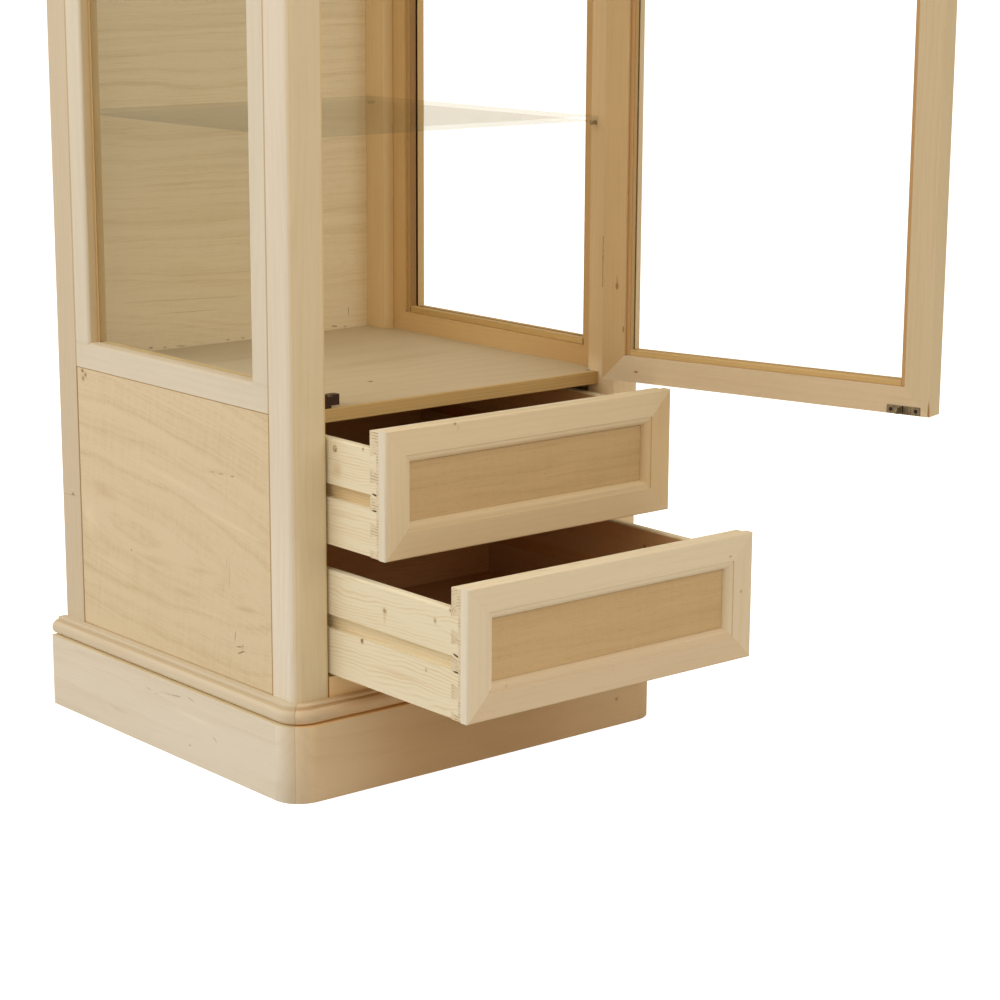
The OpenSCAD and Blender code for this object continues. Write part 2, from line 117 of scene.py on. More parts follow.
class Tree:
    """A material's node tree, built from left to right."""

    def __init__(self, name):
        self.material = bpy.data.materials.new(name)
        self.material.use_nodes = True
        self.nodes = self.material.node_tree.nodes
        self.links = self.material.node_tree.links
        self.nodes.clear()
        self.output = self.nodes.new("ShaderNodeOutputMaterial")
        self.coords = self.nodes.new("ShaderNodeTexCoord")

    def put(self, socket, value):
        if isinstance(value, bpy.types.NodeSocket):
            self.links.new(value, socket)
        elif value is not None:
            if socket.type == "RGBA" and len(value) == 3:
                value = (*value, 1.0)
            socket.default_value = value

    def math(self, operation, a, b=None, clamp=False):
        node = self.nodes.new("ShaderNodeMath")
        node.operation = operation
        node.use_clamp = clamp
        for socket, value in zip(node.inputs, (a, b)):
            self.put(socket, value)
        return node.outputs[0]

    def vector(self, operation, a, b=None, scale=None, out=0):
        node = self.nodes.new("ShaderNodeVectorMath")
        node.operation = operation
        self.put(node.inputs[0], a)
        self.put(node.inputs[1], b)
        if scale is not None:
            self.put(node.inputs["Scale"], scale)
        return node.outputs[out]

    def mapping(self, vector, location=(0, 0, 0), rotation=(0, 0, 0), scale=(1, 1, 1),
                kind="POINT"):
        node = self.nodes.new("ShaderNodeMapping")
        node.vector_type = kind
        self.put(node.inputs["Vector"], vector)
        node.inputs["Location"].default_value = location
        node.inputs["Rotation"].default_value = rotation
        node.inputs["Scale"].default_value = scale
        return node.outputs[0]

    def noise(self, vector, scale=1.0, detail=2.0, roughness=0.5, distortion=0.0):
        node = self.nodes.new("ShaderNodeTexNoise")
        self.put(node.inputs["Vector"], vector)
        node.inputs["Scale"].default_value = scale
        node.inputs["Detail"].default_value = detail
        node.inputs["Roughness"].default_value = roughness
        node.inputs["Distortion"].default_value = distortion
        return node.outputs["Fac"]

    def between(self, value, low, high, to_low=0.0, to_high=1.0):
        node = self.nodes.new("ShaderNodeMapRange")
        node.interpolation_type = "SMOOTHSTEP"
        for name, number in (("Value", value), ("From Min", low), ("From Max", high),
                             ("To Min", to_low), ("To Max", to_high)):
            self.put(node.inputs[name], number)
        return node.outputs[0]

    def mix(self, factor, a, b, blend="MIX"):
        node = self.nodes.new("ShaderNodeMix")
        node.data_type = "RGBA"
        node.blend_type = blend
        self.put(node.inputs[0], factor)
        self.put(node.inputs[6], a)
        self.put(node.inputs[7], b)
        return node.outputs[2]

    def shader(self, colour, roughness, height=None, depth=0.0002, **sockets):
        node = self.nodes.new("ShaderNodeBsdfPrincipled")
        self.put(node.inputs["Base Color"], colour)
        self.put(node.inputs["Roughness"], roughness)
        for name, value in sockets.items():
            self.put(node.inputs[name.replace("_", " ")], value)
        if height is not None:
            bump = self.nodes.new("ShaderNodeBump")
            bump.inputs["Distance"].default_value = depth
            bump.inputs["Strength"].default_value = 0.6
            self.put(bump.inputs["Height"], height)
            self.links.new(bump.outputs[0], node.inputs["Normal"])
        self.links.new(node.outputs[0], self.output.inputs[0])
        return self.material

    def zone(self, centre, half, soft=0.05):
        """A factor that is 1 inside a box about centre, in millimetres."""
        inside = self.mapping(self.coords.outputs["Object"], tuple(MM * v for v in centre),
                              scale=tuple(MM * v for v in half), kind="TEXTURE")
        parts = self.nodes.new("ShaderNodeSeparateXYZ")
        self.put(parts.inputs[0], self.vector("ABSOLUTE", inside))
        reach = self.math("MAXIMUM", parts.outputs[0], parts.outputs[1])
        reach = self.math("MAXIMUM", reach, parts.outputs[2])
        return self.between(reach, 1.0, 1.0 - soft)

    def spot(self, centre, radii, turn=(0, 0, 0), soft=0.5, waver=0.0):
        """A factor that is 1 inside an ellipsoid at centre and falls to 0 at its edge."""
        inside = self.mapping(self.coords.outputs["Object"], centre, turn, radii, "TEXTURE")
        reach = self.vector("LENGTH", inside, out=1)
        if waver:
            grit = self.noise(self.coords.outputs["Object"], 260.0, 3.0, 0.6)
            reach = self.math("ADD", reach, self.math("MULTIPLY", self.math(
                "SUBTRACT", grit, 0.5), waver))
        return self.between(reach, 1.0, 1.0 - soft)


def shaded(colour, factors):
    """A colour times factors, kept below the whitest that wood can be."""
    return tuple(min(0.95, c * f) for c, f in zip(colour, factors))


def mitred_run(t, place, ring, butt):
    """Masks for a frame's uprights, its bottom member and its seams."""
    u, v, centre, half = ring
    du = t.math("SUBTRACT", t.vector("DOT_PRODUCT", place, u, out=1), centre[0])
    dv = t.math("SUBTRACT", t.vector("DOT_PRODUCT", place, v, out=1), centre[1])
    to_side = t.math("SUBTRACT", half[0], t.math("ABSOLUTE", du))
    to_end = t.math("SUBTRACT", half[1], t.math("ABSOLUTE", dv))
    gap = t.math("SUBTRACT", butt if butt else to_end, to_side)
    upright = t.math("GREATER_THAN", gap, 0.0)
    bottom = t.math("MULTIPLY", t.math("SUBTRACT", 1.0, upright),
                    t.math("LESS_THAN", dv, 0.0))
    right = t.math("MULTIPLY", upright, t.math("GREATER_THAN", du, 0.0))
    seam = t.between(t.math("ABSOLUTE", gap), 0.0007, 0.0002)
    return upright, bottom, right, seam


# Noise scales per metre along and across the grain.
DRIFT_SCALE = (1.6, 5.0, 5.0)
CURL_SCALE = (13.0, 26.0, 26.0)
WORN_SCALE = (5.0, 120.0, 120.0)
FIBRE_SCALE = (14.0, 900.0, 900.0)
PORE_SCALE = (150.0, 1700.0, 1700.0)
TONE_SCALE = (2.2, 16.0, 16.0)
WAVE_SCALE = (150.0, 14.0, 14.0)
FIGURE_SCALE = 75.0
SPECK_SCALE = 700.0
BROKEN_SCALE = 95.0
STROKE_GAP = 0.0034
UPRIGHT_SHIFT = (0.0, 0.031, 0.017)
GRAIN_DEPTH = 0.00018


def wood(name, pale, deep, along, pith=(0.0, 0.09, 0.03), rings=0.3, gap=0.0042, streaks=0.5,
         pores=0.4, patch=0.25, wander=0.012, swirl=0.0, end=0.5, hatch=0.0, ripple=0.0,
         heart=None, figure=0.0, marks=(), zones=(), planes=(), lines=(), ring=None, butt=None,
         level_tone=(1, 1, 1), bottom_tone=(1, 1, 1), right_tone=(1, 1, 1), seam=0.12,
         shine=0.62):
    """Planed wood with its length turned onto X by along, and rings round a pith line.

    zones: centre and half size in millimetres, softness, factors, strength
    planes: normal, start and softness in metres, factors
    lines: normal, place and half width in metres, factors
    ring: a mitred frame's two directions, its centre and its half size in metres
    """
    force = bpy.context.scene.cabinet_wood.grain
    t = Tree(name)
    place = t.coords.outputs["Object"]
    q = t.mapping(place, rotation=along)
    if ring:
        upright, bottom, right, joint = mitred_run(t, place, ring, butt)
        other = t.vector("ADD", t.mapping(place, rotation=ALONG_Z), UPRIGHT_SHIFT)
        q = t.vector("ADD", q, t.vector("SCALE", t.vector("SUBTRACT", other, q),
                                        scale=upright))
    q = t.vector("ADD", q, pith)

    # Rings round the pith, wandering slowly along the board.
    drift = t.noise(t.mapping(q, scale=DRIFT_SCALE), 1.0, 2.0, 0.5)
    drift = t.math("MULTIPLY", t.math("SUBTRACT", drift, 0.5), wander * 2.0)
    if swirl:
        curl = t.noise(t.mapping(q, scale=CURL_SCALE), 1.0, 2.0, 0.5)
        drift = t.math("ADD", drift, t.math("MULTIPLY", t.math("SUBTRACT", curl, 0.5),
                                            swirl * 2.0))
    if heart:
        across = t.vector("LENGTH", t.mapping(place, heart[0], heart[1], heart[2], "TEXTURE"),
                          out=1)
    else:
        across = t.vector("LENGTH", t.mapping(q, scale=(0.0, 1.0, 1.0)), out=1)
    turn = t.math("FRACT", t.math("DIVIDE", t.math("ADD", across, drift), gap))
    late = t.math("MULTIPLY", t.between(turn, 0.3, 0.88), t.between(turn, 1.0, 0.9))
    worn = t.noise(t.mapping(q, scale=WORN_SCALE), 1.0, 2.0, 0.6)
    late = t.math("MULTIPLY", late, t.between(worn, 0.25, 0.75))

    # Fibres, pores and the slow change of tone over the board.
    fibre = t.noise(t.mapping(q, scale=FIBRE_SCALE), 1.0, 3.0, 0.7)
    pore = t.noise(t.mapping(q, scale=PORE_SCALE), 1.0, 1.0, 0.5)
    pore = t.between(pore, 0.62, 0.74)
    tone = t.noise(t.mapping(q, scale=TONE_SCALE), 1.0, 3.0, 0.55, 0.4)

    amount = t.math("MULTIPLY", late, rings * force)
    if figure:
        run = t.vector("SCALE", RIGHT, scale=t.math("ADD", across, drift))
        band = t.noise(run, FIGURE_SCALE, 4.0, 0.62)
        amount = t.math("ADD", amount, t.math("MULTIPLY", t.math("SUBTRACT", band, 0.5),
                                              figure * force))
    amount = t.math("ADD", amount, t.math("MULTIPLY", t.math("SUBTRACT", fibre, 0.5),
                                          streaks * force))
    amount = t.math("ADD", amount, t.math("MULTIPLY", t.math("SUBTRACT", tone, 0.42),
                                          patch * 2.0 * force))
    if ripple:
        wave = t.noise(t.mapping(q, scale=WAVE_SCALE), 1.0, 3.0, 0.6)
        amount = t.math("ADD", amount, t.math("MULTIPLY", t.math("SUBTRACT", wave, 0.5),
                                              ripple * force))
    amount = t.math("ADD", amount, t.math("MULTIPLY", pore, pores * 0.5 * force), clamp=True)
    colour = t.mix(amount, pale, deep)

    # End grain is greyer and speckled, and shows the rings as short dark strokes.
    if end:
        facing = t.vector("DOT_PRODUCT", t.mapping(t.coords.outputs["Normal"], rotation=along),
                          RIGHT, out=1)
        facing = t.between(t.math("ABSOLUTE", facing), 0.75, 0.95)
        if ring:
            facing = t.math("MULTIPLY", facing, t.math("SUBTRACT", 1.0, upright))
        speck = t.noise(q, SPECK_SCALE, 3.0, 0.7)
        sawn = t.mix(t.between(speck, 0.3, 0.75), shaded(pale, (0.95, 0.93, 0.90)),
                     shaded(pale, (0.80, 0.74, 0.70)))
        if hatch:
            stroke = t.math("FRACT", t.math("DIVIDE", across, STROKE_GAP))
            stroke = t.between(t.math("ABSOLUTE", t.math("SUBTRACT", stroke, 0.5)), 0.26, 0.1)
            broken = t.between(t.noise(q, BROKEN_SCALE, 2.0, 0.5), 0.42, 0.6)
            stroke = t.math("MULTIPLY", t.math("MULTIPLY", stroke, broken), hatch)
            sawn = t.mix(stroke, sawn, shaded(deep, (0.62, 0.52, 0.50)))
        colour = t.mix(t.math("MULTIPLY", facing, end), colour, sawn)
    # Zones, planes and lines multiply the colour by position. The callers use them largely for
    # painted light and shade: faces turned from the light, shadow in gaps, grooves and recesses,
    # and paler lit ends.
    for centre, half, soft, factors, power in zones:
        inside = t.math("MULTIPLY", t.zone(centre, half, soft), power)
        colour = t.mix(inside, colour, factors, "MULTIPLY")
    for normal, start, soft, factors in planes:
        beyond = t.vector("DOT_PRODUCT", place, normal, out=1)
        colour = t.mix(t.between(beyond, start, start + soft), colour, factors, "MULTIPLY")
    for normal, at, half, factors in lines:
        off = t.math("SUBTRACT", t.vector("DOT_PRODUCT", place, normal, out=1), at)
        colour = t.mix(t.between(t.math("ABSOLUTE", off), half, 0.5 * half), colour, factors,
                       "MULTIPLY")
    if ring:
        level = t.math("SUBTRACT", 1.0, upright)
        colour = t.mix(level, colour, level_tone, "MULTIPLY")
        colour = t.mix(bottom, colour, bottom_tone, "MULTIPLY")
        colour = t.mix(right, colour, right_tone, "MULTIPLY")
        colour = t.mix(t.math("MULTIPLY", joint, seam), colour, shaded(deep, (0.5, 0.42, 0.35)))
    for mark in marks:
        colour = add_mark(t, colour, mark, pale, deep)

    height = t.math("ADD", t.math("MULTIPLY", fibre, 0.7), t.math("MULTIPLY", pore, -0.6))
    height = t.math("ADD", height, t.math("MULTIPLY", late, 0.25))
    gloss = t.math("ADD", shine, t.math("MULTIPLY", t.math("SUBTRACT", fibre, 0.5), 0.25))
    return t.shader(colour, gloss, height, GRAIN_DEPTH, Specular_IOR_Level=0.32)


def add_mark(t, colour, mark, pale, deep):
    """Draws a knot, crack, smudge or pale streak over the wood."""
    kind, centre, radii, turn, power = mark
    centre = tuple(MM * v for v in centre)
    radii = tuple(MM * v for v in radii)
    turn = tuple(math.radians(v) for v in turn)
    knot = tuple(bpy.context.scene.cabinet_wood.knot)
    if kind == "knot":
        blush = tuple(0.5 * (a + b) for a, b in zip(deep, knot))
        halo = t.spot(centre, tuple(1.9 * r for r in radii), turn, 0.8, 0.25)
        heart = t.spot(centre, radii, turn, 0.55, 0.35)
        colour = t.mix(t.math("MULTIPLY", halo, 0.5 * power), colour, blush)
        return t.mix(t.math("MULTIPLY", heart, power), colour, knot)
    if kind == "pale":
        return t.mix(t.math("MULTIPLY", t.spot(centre, radii, turn, 0.9, 0.3), power), colour,
                     shaded(pale, (1.15, 1.18, 1.2)))
    if kind == "dark":
        return t.mix(t.math("MULTIPLY", t.spot(centre, radii, turn, 0.9, 0.3), power), colour,
                     shaded(deep, (0.92, 0.85, 0.78)))
    if kind == "smudge":
        return t.mix(t.math("MULTIPLY", t.spot(centre, radii, turn, 0.95, 0.9), power), colour,
                     (0.30, 0.27, 0.23))
    if kind == "crack":
        return t.mix(t.math("MULTIPLY", t.spot(centre, radii, turn, 0.6, 0.4), power), colour,
                     (0.36, 0.19, 0.08))
    return t.mix(t.math("MULTIPLY", t.spot(centre, radii, turn, 0.5, 0.5), power), colour,
                 (0.12, 0.055, 0.02))


def kind_of_wood(name, pale, deep, along, shift, tone, extra, look):
    """One board of a wood: tone tints it, partly with the board's own colour and partly with
    painted light and shade for how its faces are lit; shift picks another part of the log.
    """
    look = dict(look)
    pith = look.pop("pith")
    look["pith"] = (pith[0] + shift, pith[1] + 0.19 * shift, pith[2] + 0.07 * shift)
    look.update(extra)
    return wood(name, shaded(pale, tone), shaded(deep, tone), along, **look)


def lime(name, along, shift=0.0, tone=(1, 1, 1), **extra):
    """Pale planed wood of the posts, frames and mouldings."""
    s = bpy.context.scene.cabinet_wood
    look = dict(pith=(0.0, 0.13, 0.05), rings=0.18, gap=s.ring_gap * 1.7, streaks=0.55,
                pores=0.34, patch=0.28, wander=0.018, swirl=0.002)
    return kind_of_wood(name, tuple(s.lime), tuple(s.lime_deep), along, shift, tone, extra, look)


def spruce(name, along, shift=0.0, tone=(1, 1, 1), **extra):
    """Softwood of the drawer boxes, with close rings."""
    s = bpy.context.scene.cabinet_wood
    look = dict(pith=(0.0, 0.11, 0.02), rings=0.70, gap=s.ring_gap * 0.62, streaks=0.34,
                pores=0.12, patch=0.34, wander=0.03, swirl=0.0048)
    return kind_of_wood(name, tuple(s.spruce), tuple(s.spruce_ring), along, shift, tone, extra,
                        look)


def veneer(name, along, shift=0.0, tone=(1, 1, 1), **extra):
    """Figured wood of the side panels and the back."""
    s = bpy.context.scene.cabinet_wood
    look = dict(pith=(0.0, 0.10, 0.30), rings=0.12, gap=s.ring_gap * 2.1, streaks=1.1,
                pores=1.0, patch=0.34, wander=0.05, swirl=0.005, ripple=0.6, figure=2.0)
    return kind_of_wood(name, tuple(s.veneer), tuple(s.veneer_deep), along, shift, tone, extra,
                        look)


def fielded(name, along, shift=0.0, tone=(1, 1, 1), **extra):
    """Brown wood of the panels in the drawer fronts."""
    s = bpy.context.scene.cabinet_wood
    look = dict(pith=(0.0, 0.06, 0.16), rings=0.20, gap=s.ring_gap * 2.2, streaks=1.0,
                pores=1.2, patch=0.6, wander=0.02, swirl=0.003, ripple=0.35, figure=0.9)
    return kind_of_wood(name, tuple(s.fielded), tuple(s.fielded_deep), along, shift, tone,
                        extra, look)


def strip(name, along, shift=0.0, tone=(1, 1, 1), **extra):
    """Yellow wood of the glazing beads, the lipping and the runners; its deep golden tone is
    partly painted shade, as these strips sit in shade.
    """
    s = bpy.context.scene.cabinet_wood
    pale = tuple(s.strip)
    look = dict(pith=(0.0, 0.05, 0.02), rings=0.35, gap=s.ring_gap * 0.8, streaks=0.8,
                pores=0.5, patch=0.35, wander=0.006, shine=0.5)
    return kind_of_wood(name, pale, shaded(pale, (0.72, 0.64, 0.55)), along, shift, tone, extra,
                        look)


# Marks in the wood: kind, centre and radii in millimetres, turn in degrees, strength.

def on_face(axis, level, depth, rows):
    """Marks on a face square to an axis: kind, place, radii, turn in degrees, strength."""
    marks = []
    for kind, place, radii, turn, strength in rows:
        centre, reach, turns = list(place), list(radii), [0, 0, 0]
        centre.insert(axis, level)
        reach.insert(axis, depth)
        turns[axis] = turn
        marks.append((kind, tuple(centre), tuple(reach), tuple(turns), strength))
    return tuple(marks)


REAR_POST_MARKS = on_face(0, -272.0, 3.0, (
    ("knot", (-19.1, 286.7), (3.6, 2.6), 0, 0.6),
    ("slit", (-7.0, 284.6), (26.0, 0.6), -4, 0.3),
))
SIDE_PANEL_MARKS = on_face(0, -271.6, 3.0, (
    ("knot", (-52.0, 454.0), (3.6, 3.0), 0, 0.75),
    ("knot", (-59.0, 449.5), (3.0, 3.0), 0, 0.7),
    ("knot", (-53.0, 444.0), (3.0, 3.6), 0, 0.6),
    ("slit", (-388.0, 174.0), (1.1, 9.0), 9, 0.5),
    ("slit", (-396.0, 162.6), (8.0, 1.1), -12, 0.6),
    ("slit", (-400.5, 156.6), (11.0, 1.2), -22, 0.7),
    ("slit", (-404.0, 164.5), (1.1, 5.0), 0, 0.5),
    ("slit", (-345.7, 370.0), (6.0, 1.0), -8, 0.4),
    ("slit", (-364.0, 370.6), (7.0, 1.0), -8, 0.45),
    ("slit", (-388.3, 371.5), (5.0, 1.2), -8, 0.5),
    ("dark", (-362.0, 372.0), (50.0, 5.0), -4, 0.2),
    ("dark", (-412.0, 212.4), (40.0, 6.0), -4, 0.32),
    ("smudge", (-415.0, 212.6), (24.0, 3.0), -5, 0.12),
    ("dark", (-279.0, 205.8), (44.0, 7.0), 0, 0.25),
    ("smudge", (-284.0, 205.0), (12.0, 3.0), 0, 0.1),
    ("dark", (-316.9, 241.6), (56.0, 5.0), -4, 0.22),
    ("dark", (-215.0, 236.0), (60.0, 7.0), -2, 0.2),
    ("dark", (-93.9, 304.8), (40.0, 14.0), 10, 0.3),
    ("slit", (-377.6, 248.0), (0.8, 22.0), 0, 0.3),
    ("slit", (-373.0, 262.0), (0.7, 9.0), 0, 0.3),
    ("knot", (-157.2, 237.8), (1.8, 1.5), 0, 0.55),
)) + on_face(0, -271.6, 4.0, (
    ("pale", (-260.0, 345.0), (150.0, 6.0), 8, 0.35),
    ("pale", (-380.0, 312.0), (100.0, 5.0), 8, 0.4),
    ("pale", (-60.0, 262.0), (22.0, 34.0), -10, 0.4),
    ("pale", (-110.0, 214.0), (80.0, 5.0), 8, 0.35),
    ("pale", (-360.0, 190.0), (90.0, 4.0), 4, 0.25),
))
BACK_MARKS = on_face(1, 2.0, 3.0, (
    ("slit", (-133.8, 463.0), (4.0, 1.6), 0, 0.6),
    ("slit", (-112.0, 461.0), (3.0, 1.3), 0, 0.5),
    ("slit", (-86.6, 460.5), (10.0, 1.0), 4, 0.5),
    ("slit", (-10.9, 461.5), (4.0, 1.2), 0, 0.5),
    ("slit", (13.7, 461.5), (3.0, 1.2), 0, 0.5),
    ("slit", (168.0, 463.0), (7.0, 1.4), 8, 0.6),
    ("slit", (186.7, 461.0), (3.0, 1.2), 0, 0.5),
    ("slit", (193.0, 482.0), (0.8, 8.0), 0, 0.6),
    ("slit", (-89.0, 523.0), (118.0, 0.8), 2.4, 0.22),
    ("slit", (-74.0, 505.5), (62.0, 0.8), 1.4, 0.22),
))
FLOOR_MARKS = on_face(2, 458.5, 3.0, (
    ("knot", (-46.4, -365.4), (4.2, 4.2), 0, 1.0),
    ("slit", (-46.4, -365.4), (2.8, 2.8), 0, 1.0),
    ("pale", (-44.0, -368.0), (9.0, 3.0), 35, 0.6),
    ("slit", (221.7, -470.2), (4.6, 3.2), 0, 1.0),
)) + on_face(2, 458.5, 4.0, (
    ("dark", (60.0, -250.0), (200.0, 26.0), 4, 0.25),
    ("dark", (-60.0, -120.0), (180.0, 18.0), -3, 0.25),
))
PLINTH_LEFT_MARKS = on_face(0, -294.0, 3.0, (
    ("slit", (-226.0, 74.5), (7.0, 0.9), 8, 0.35),
    ("slit", (-242.0, 72.0), (4.0, 0.9), 0, 0.3),
    ("smudge", (-275.0, 78.5), (30.0, 2.4), -4, 0.3),
    ("slit", (-290.0, 80.0), (12.0, 0.9), -6, 0.4),
    ("slit", (-322.0, 83.0), (10.0, 0.9), 10, 0.4),
    ("slit", (-317.0, 23.0), (4.0, 1.2), 0, 0.35),
    ("slit", (-373.0, 44.0), (6.0, 1.1), 30, 0.35),
    ("smudge", (-150.0, 30.0), (30.0, 4.0), 4, 0.14),
)) + on_face(0, -294.0, 4.0, (
    ("pale", (-330.0, 60.0), (90.0, 5.0), 2, 0.3),
))
PLINTH_FRONT_MARKS = on_face(1, -536.0, 3.0, (
    ("knot", (219.5, 36.0), (2.6, 2.6), 0, 0.6),
    ("smudge", (222.0, 37.0), (10.0, 4.0), 0, 0.12),
)) + on_face(1, -536.0, 4.0, (
    ("dark", (60.0, 60.0), (150.0, 9.0), 3, 0.25),
))
HINGE_STILE_MARKS = (
    ("crack", (204.1, -541.7, 575.6), (3.0, 3.0, 6.4), (0, 0, 0), 1.0),
    ("crack", (204.1, -541.7, 583.0), (3.0, 1.8, 8.0), (0, 0, 0), 0.45),
    ("crack", (206.8, -551.5, 522.1), (3.0, 1.8, 5.4), (0, 0, 0), 0.9),
)
FREE_STILE_MARKS = (
    ("crack", (318.6, -954.4, 458.0), (3.2, 1.7, 23.0), (0, 0, 15), 1.0),
)
DOOR_RAIL_MARKS = (
    ("crack", (212.1, -570.4, 470.4), (3.0, 4.6, 1.9), (0, 0, 0), 1.0),
)
SIDE_MARKS = {
    "upper": on_face(0, -222.5, 3.0, (
        ("crack", (-528.0, 421.0), (5.6, 6.0), 0, 0.75),
        ("pale", (-528.0, 422.0), (2.6, 3.0), 0, 0.5),
        ("knot", (-529.5, 420.0), (1.6, 2.4), 0, 0.7),
        ("dark", (-532.0, 396.0), (14.0, 14.0), 0, 0.45),
        ("knot", (-582.0, 429.0), (2.0, 2.2), 0, 0.7),
        ("slit", (-604.0, 379.0), (7.0, 1.7), 8, 1.0),
        ("slit", (-604.0, 360.2), (7.0, 1.4), 0, 1.0),
        ("dark", (-540.0, 345.0), (36.0, 5.0), 0, 0.3),
    )),
    "lower": on_face(0, -222.5, 3.0, (
        ("knot", (-621.0, 246.0), (3.8, 3.6), 0, 0.65),
        ("dark", (-621.0, 238.0), (4.4, 12.0), 0, 0.4),
        ("knot", (-713.6, 254.0), (2.8, 3.6), 0, 0.5),
        ("knot", (-741.0, 272.0), (3.0, 3.0), 0, 0.5),
        ("knot", (-577.3, 200.8), (3.0, 3.6), 0, 0.95),
        ("knot", (-697.2, 193.0), (2.0, 3.0), 0, 0.4),
        ("slit", (-751.0, 221.6), (7.0, 1.7), 12, 1.0),
        ("slit", (-751.0, 202.4), (7.0, 1.5), 0, 1.0),
        ("dark", (-650.0, 176.0), (70.0, 6.0), 0, 0.35),
    )) + on_face(0, 210.5, 3.0, (
        ("knot", (-593.2, 251.4), (3.0, 3.4), 0, 0.8),
    )),
}
FRONT_MARKS = {
    "upper": on_face(1, -623.0, 3.0, (
        ("knot", (-120.6, 452.5), (2.2, 2.0), 0, 0.55),
        ("dark", (-116.0, 447.0), (3.0, 5.0), 25, 0.35),
    )),
    "lower": on_face(1, -771.0, 3.0, (
        ("knot", (-164.2, 180.3), (3.4, 1.6), -20, 0.4),
        ("knot", (184.7, 276.4), (2.4, 1.6), 0, 0.45),
        ("knot", (164.9, 264.7), (1.8, 1.5), 0, 0.45),
        ("knot", (204.1, 229.9), (1.6, 2.4), 0, 0.45),
    )),
}


CLOSED_GAP = 0.00002
SHARP_EDGE = math.radians(40)


def dress(node, material, edge=True):
    """Gives a CAD node a material in every slot and eases its edges."""
    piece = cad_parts[node]
    if not piece.material_slots:
        piece.data.materials.append(material)
    for slot in piece.material_slots:
        slot.material = material
    if edge:
        weld = piece.modifiers.new("Closed corners", "WELD")
        weld.merge_threshold = CLOSED_GAP
        ease = piece.modifiers.new("Eased edges", "BEVEL")
        ease.width = bpy.context.scene.cabinet_wood.edge
        ease.segments = bpy.context.scene.cabinet_stage.segments
        ease.limit_method = "ANGLE"
        ease.angle_limit = SHARP_EDGE
        ease.harden_normals = False


# Tints for the boards of one wood, partly the boards' own tone and partly painted light and shade:
# the first is paler and bluer, painted light on faces lit by the key light on the left; the second
# is a milder tint; the third is darker and warmer, painted shade on inward faces; the last two
# darken joints, painted shade in their narrow gaps.
KEY_LIT_TINT = (1.0, 1.13, 1.37)
FRONT = (1.04, 1.09, 1.16)
INNER_SHADE = (0.95, 0.79, 0.55)
SEAM_SHADE = (0.62, 0.47, 0.30)
SOFT_SEAM_SHADE = (0.80, 0.70, 0.56)

# The drawers' undersides, heights and how far they stand out, in millimetres.
DRAWER_Z = {"upper": 303.0, "lower": 145.0}
DRAWER_H = {"upper": 152.0, "lower": 156.0}
DRAWER_PULL = {"upper": 109.0, "lower": 257.0}


